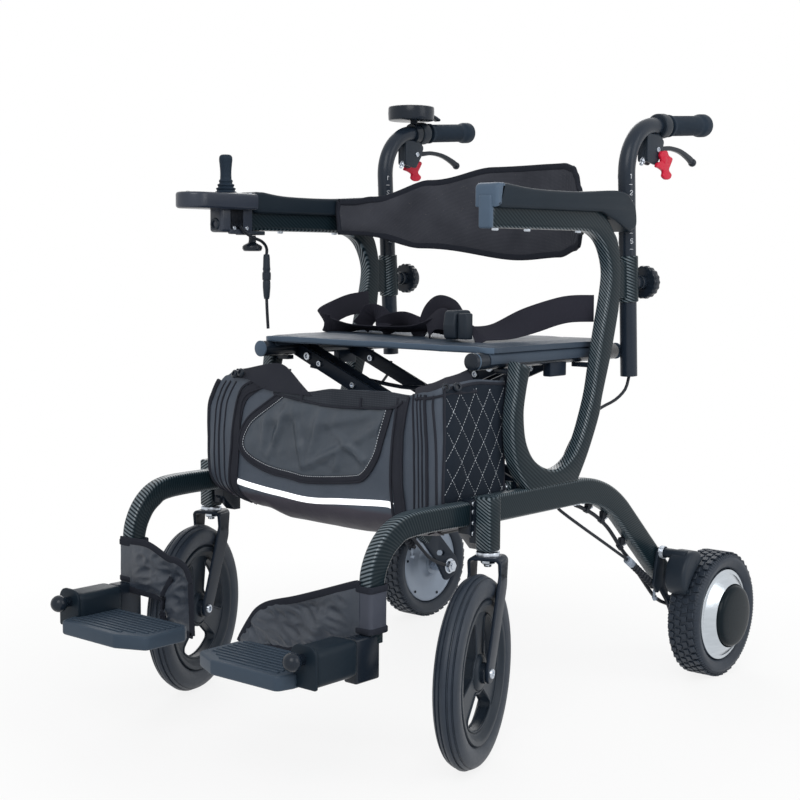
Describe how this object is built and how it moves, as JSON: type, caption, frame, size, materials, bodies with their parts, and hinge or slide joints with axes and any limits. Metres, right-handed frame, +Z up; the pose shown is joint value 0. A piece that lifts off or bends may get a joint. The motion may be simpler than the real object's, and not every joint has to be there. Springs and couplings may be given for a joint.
{
  "type": "electric rollator",
  "caption": "Folding electric rollator with carbon side frames, scissor brace, hub-motor rear wheels, caster front wheels, lift-off footrests, joystick and push handles.",
  "frame": {"origin": "on the floor, under the middle of the bounding box", "axes": "+X to the seated user's left, +Y to the rear, where the push handles are, +Z up"},
  "size_m": [0.697, 0.9902, 0.9235],
  "materials": {
    "carbon": "glossy carbon twill",
    "slate": "satin slate blue",
    "cable": "matt black",
    "tyre": "matt dark grey",
    "hub_alloy": "polished ring",
    "black_plastic": "satin black",
    "black_paint": "satin dark paint",
    "grip_rubber": "soft matt",
    "red_plastic": "satin",
    "fabric": "woven nylon",
    "webbing": "woven webbing",
    "battery_case": "matt"
  },
  "bodies": {
    "left_frame": {"left_lower_beam": "carbon", "left_arm_frame": "carbon", "left_arm_pad": "slate", "left_motor_cable": "cable", "left_brake_cable": "cable", "left_belt": "webbing", "back_strap": "fabric", "bag": "fabric", "battery": "battery_case"},
    "scissor_right": {"right_cross_bar": "black_paint"},
    "scissor_left": {"left_cross_bar": "black_paint", "seat": "fabric"},
    "right_frame": {"right_lower_beam": "carbon", "right_arm_frame": "carbon", "right_arm_pad": "slate", "right_motor_cable": "cable", "right_brake_cable": "cable", "right_belt": "webbing", "controller_body": "slate", "joystick_lead": "cable"},
    "left_caster": {"left_caster_fork": "black_paint"},
    "left_front_wheel": {"left_front_tyre": "tyre", "left_front_rim": "black_plastic"},
    "left_rear_wheel": {"left_rear_tyre": "tyre", "left_hub_motor": "hub_alloy"},
    "left_brake_shoe": {"left_rear_brake": "black_plastic"},
    "left_footrest": {"left_hanger": "carbon", "left_heel_strap": "fabric"},
    "left_plate": {"left_footplate": "slate"},
    "left_plunger": {"left_plunger_knob": "black_plastic"},
    "left_handle": {"left_handle_tube": "black_paint", "left_grip": "grip_rubber", "left_brake_body": "black_plastic"},
    "left_lever": {"left_brake_lever": "black_plastic"},
    "left_lock": {"left_lock_lever": "red_plastic"},
    "left_clamp": {"left_clamp_knob": "black_plastic"},
    "right_caster": {"right_caster_fork": "black_paint"},
    "right_front_wheel": {"right_front_tyre": "tyre", "right_front_rim": "black_plastic"},
    "right_rear_wheel": {"right_rear_tyre": "tyre", "right_hub_motor": "hub_alloy"},
    "right_brake_shoe": {"right_rear_brake": "black_plastic"},
    "right_footrest": {"right_hanger": "carbon", "right_heel_strap": "fabric"},
    "right_plate": {"right_footplate": "slate"},
    "right_plunger": {"right_plunger_knob": "black_plastic"},
    "right_handle": {"right_handle_tube": "black_paint", "right_grip": "grip_rubber", "right_brake_body": "black_plastic", "display": "black_plastic"},
    "right_lever": {"right_brake_lever": "black_plastic"},
    "right_lock": {"right_lock_lever": "red_plastic"},
    "right_clamp": {"right_clamp_knob": "black_plastic"},
    "stick": {"joystick": "black_plastic"},
    "thumb_screw": {"controller_knob": "black_plastic"},
    "throttle": {"throttle_lever": "black_plastic"}
  },
  "joints": [
    {"name": "fold", "type": "hinge", "parent": "left_frame", "child": "scissor_right", "pos_m": [0.2185, -0.038, 0.345], "axis": [0, 1, 0], "range_deg": [0, 20], "deforming": ["seat", "back_strap", "bag", "left_belt", "right_belt", "joystick_lead"]},
    {"name": "scissor", "type": "hinge", "parent": "scissor_right", "child": "scissor_left", "pos_m": [0, -0.038, 0.43587], "axis": [0, 1, 0], "range_deg": [-40, 0]},
    {"name": "right_fold", "type": "hinge", "parent": "scissor_left", "child": "right_frame", "pos_m": [-0.2185, -0.038, 0.345], "axis": [0, 1, 0], "range_deg": [0, 20]},
    {"name": "left_caster_swivel", "type": "hinge", "parent": "left_frame", "child": "left_caster", "pos_m": [0.271, -0.1596, 0.276], "axis": [0, 0, 1], "continuous": true},
    {"name": "right_caster_swivel", "type": "hinge", "parent": "right_frame", "child": "right_caster", "pos_m": [-0.271, -0.1596, 0.276], "axis": [0, 0, 1], "continuous": true},
    {"name": "left_front_wheel_spin", "type": "hinge", "parent": "left_caster", "child": "left_front_wheel", "pos_m": [0.29039, -0.21288, 0.127], "axis": [0.9397, 0.342, 0], "continuous": true},
    {"name": "right_front_wheel_spin", "type": "hinge", "parent": "right_caster", "child": "right_front_wheel", "pos_m": [-0.25161, -0.21288, 0.127], "axis": [0.9397, 0.342, 0], "continuous": true},
    {"name": "left_rear_wheel_spin", "type": "hinge", "parent": "left_frame", "child": "left_rear_wheel", "pos_m": [0.302, 0.395, 0.1], "axis": [1, 0, 0], "continuous": true},
    {"name": "right_rear_wheel_spin", "type": "hinge", "parent": "right_frame", "child": "right_rear_wheel", "pos_m": [-0.302, 0.395, 0.1], "axis": [1, 0, 0], "continuous": true},
    {"name": "left_rear_brake_swing", "type": "hinge", "parent": "left_frame", "child": "left_brake_shoe", "pos_m": [0.251, 0.312, 0.204], "axis": [1, 0, 0], "range_deg": [0, 1.8]},
    {"name": "right_rear_brake_swing", "type": "hinge", "parent": "right_frame", "child": "right_brake_shoe", "pos_m": [-0.251, 0.312, 0.204], "axis": [1, 0, 0], "range_deg": [0, 1.8]},
    {"name": "left_footrest_lift", "type": "slide", "parent": "left_frame", "child": "left_footrest", "axis": [0, 0, 1], "range_m": [0, 0.035]},
    {"name": "right_footrest_lift", "type": "slide", "parent": "right_frame", "child": "right_footrest", "axis": [0, 0, 1], "range_m": [0, 0.035]},
    {"name": "left_plate_flip", "type": "hinge", "parent": "left_footrest", "child": "left_plate", "pos_m": [0.2265, -0.465, 0.172], "axis": [0, 1, 0], "range_deg": [0, 90], "deforming": ["left_heel_strap"]},
    {"name": "right_plate_flip", "type": "hinge", "parent": "right_footrest", "child": "right_plate", "pos_m": [-0.2265, -0.465, 0.172], "axis": [0, -1, 0], "range_deg": [0, 90], "deforming": ["right_heel_strap"]},
    {"name": "left_plunger_pull", "type": "slide", "parent": "left_plate", "child": "left_plunger", "axis": [0, -1, 0], "range_m": [0, 0.008], "stiffness_N_per_m": 400},
    {"name": "right_plunger_pull", "type": "slide", "parent": "right_plate", "child": "right_plunger", "axis": [0, -1, 0], "range_m": [0, 0.008], "stiffness_N_per_m": 400},
    {"name": "left_handle_slide", "type": "slide", "parent": "left_frame", "child": "left_handle", "axis": [0, -0.0576, 0.9983], "range_m": [-0.096, 0.072], "deforming": ["left_brake_cable"]},
    {"name": "right_handle_slide", "type": "slide", "parent": "right_frame", "child": "right_handle", "axis": [0, -0.0576, 0.9983], "range_m": [-0.096, 0.06], "deforming": ["right_brake_cable"]},
    {"name": "left_brake_squeeze", "type": "hinge", "parent": "left_handle", "child": "left_lever", "pos_m": [0.24, 0.288, 0.83], "axis": [1, 0, 0], "range_deg": [0, 14], "stiffness_Nm_per_rad": 1.5},
    {"name": "right_brake_squeeze", "type": "hinge", "parent": "right_handle", "child": "right_lever", "pos_m": [-0.24, 0.28731, 0.842], "axis": [1, 0, 0], "range_deg": [0, 14], "stiffness_Nm_per_rad": 1.5},
    {"name": "left_lock_turn", "type": "hinge", "parent": "left_handle", "child": "left_lock", "pos_m": [0.2518, 0.3, 0.834], "axis": [1, 0, 0], "range_deg": [0, 20]},
    {"name": "right_lock_turn", "type": "hinge", "parent": "right_handle", "child": "right_lock", "pos_m": [-0.2518, 0.29931, 0.846], "axis": [1, 0, 0], "range_deg": [0, 20]},
    {"name": "left_clamp_turn", "type": "hinge", "parent": "left_frame", "child": "left_clamp", "pos_m": [0.24, 0.264, 0.628], "axis": [0, 1, 0], "continuous": true},
    {"name": "right_clamp_turn", "type": "hinge", "parent": "right_frame", "child": "right_clamp", "pos_m": [-0.24, 0.264, 0.628], "axis": [0, 1, 0], "continuous": true},
    {"name": "stick_tilt", "type": "hinge", "parent": "right_frame", "child": "stick", "pos_m": [-0.238, -0.156, 0.7595], "axis": [1, 0, 0], "range_deg": [-12, 12], "stiffness_Nm_per_rad": 0.3},
    {"name": "thumb_screw_turn", "type": "hinge", "parent": "right_frame", "child": "thumb_screw", "pos_m": [-0.238, -0.101, 0.672], "axis": [0, 0, 1], "continuous": true},
    {"name": "throttle_press", "type": "hinge", "parent": "right_handle", "child": "throttle", "pos_m": [-0.24, 0.32511, 0.914], "axis": [1, 0, 0], "range_deg": [-6, 0], "stiffness_Nm_per_rad": 0.1}
  ],
  "couplings": [
    {"joint": "scissor", "follows": "fold", "ratio": -2},
    {"joint": "right_fold", "follows": "fold", "ratio": 1},
    {"joint": "left_rear_brake_swing", "follows": "left_brake_squeeze", "ratio": 0.1285},
    {"joint": "right_rear_brake_swing", "follows": "right_brake_squeeze", "ratio": 0.1285}
  ]
}
